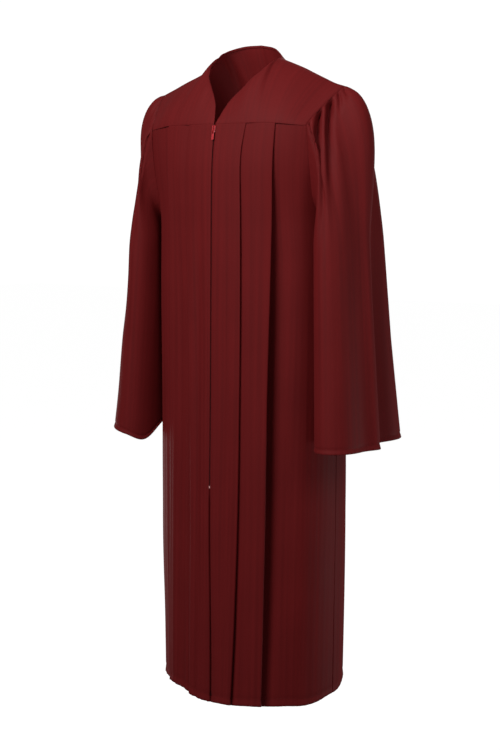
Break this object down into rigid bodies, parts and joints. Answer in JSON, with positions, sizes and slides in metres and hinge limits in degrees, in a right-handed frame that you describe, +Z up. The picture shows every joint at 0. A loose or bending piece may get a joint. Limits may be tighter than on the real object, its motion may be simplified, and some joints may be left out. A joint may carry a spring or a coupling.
{
  "type": "graduation gown",
  "caption": "Floor-long graduation gown in dark red cloth with a yoke, V neck, pressed front flutes, open bell sleeves with gathered caps and a front zip, worn and hollow.",
  "frame": {"origin": "between the two shoulders, level with the points where the shoulder seams meet the neckline, over the middle of the skirt's depth", "axes": "+Z up along the gown's length, -Y to the front, +X to the wearer's left"},
  "size_m": [0.6198, 0.3314, 1.2916],
  "materials": {
    "cloth": "plain woven, satin sheen",
    "zip_tape": "woven tape, matt",
    "zip_teeth": "moulded",
    "zip_metal": "enamelled, glossy"
  },
  "bodies": {
    "gown": {"yoke_front_left": "cloth", "yoke_front_right": "cloth", "yoke_back": "cloth", "front_left": "cloth", "front_right": "cloth", "back": "cloth", "sleeve_left": "cloth", "sleeve_right": "cloth", "zip_tape_left": "zip_tape", "zip_tape_right": "zip_tape", "zip_chain": "zip_teeth", "zip_slider": "zip_metal", "zip_bottom_stop": "zip_metal"},
    "pull": {"zip_pull": "zip_metal"}
  },
  "joints": [
    {"name": "pull_hinge", "type": "hinge", "parent": "gown", "child": "pull", "pos_m": [0, -0.13454, -0.14083], "axis": [-1, 0, 0], "range_deg": [0, 150]}
  ]
}
